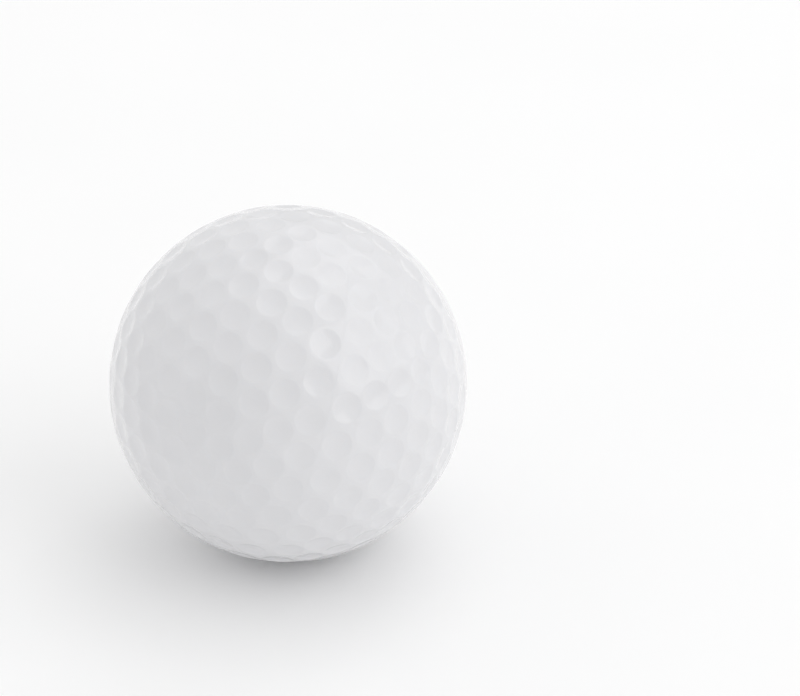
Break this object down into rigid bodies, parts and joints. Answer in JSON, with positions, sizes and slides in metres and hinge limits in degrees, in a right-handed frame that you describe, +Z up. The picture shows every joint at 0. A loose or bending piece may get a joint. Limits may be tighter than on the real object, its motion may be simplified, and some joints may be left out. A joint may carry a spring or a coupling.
{
  "type": "golf ball",
  "caption": "Plain white golf ball with a glossy dimpled cover in two half shells over a mantle and a solid core.",
  "frame": {"origin": "centre of the ball", "axes": "+Z up as the ball rests, +X to the right and -Y towards the viewer; the normal of the seam plane leans 71.5 degrees from +Z towards -X"},
  "size_m": [0.0426, 0.0426, 0.0426],
  "materials": {
    "cover": "high gloss white, very faintly cool",
    "mantle": "plain moulded, hidden in use",
    "core_rubber": "dull moulded rubber, hidden in use"
  },
  "bodies": {
    "root": {"core": "core_rubber", "mantle_left": "mantle", "mantle_right": "mantle", "cover_left": "cover", "cover_right": "cover"}
  },
  "joints": []
}
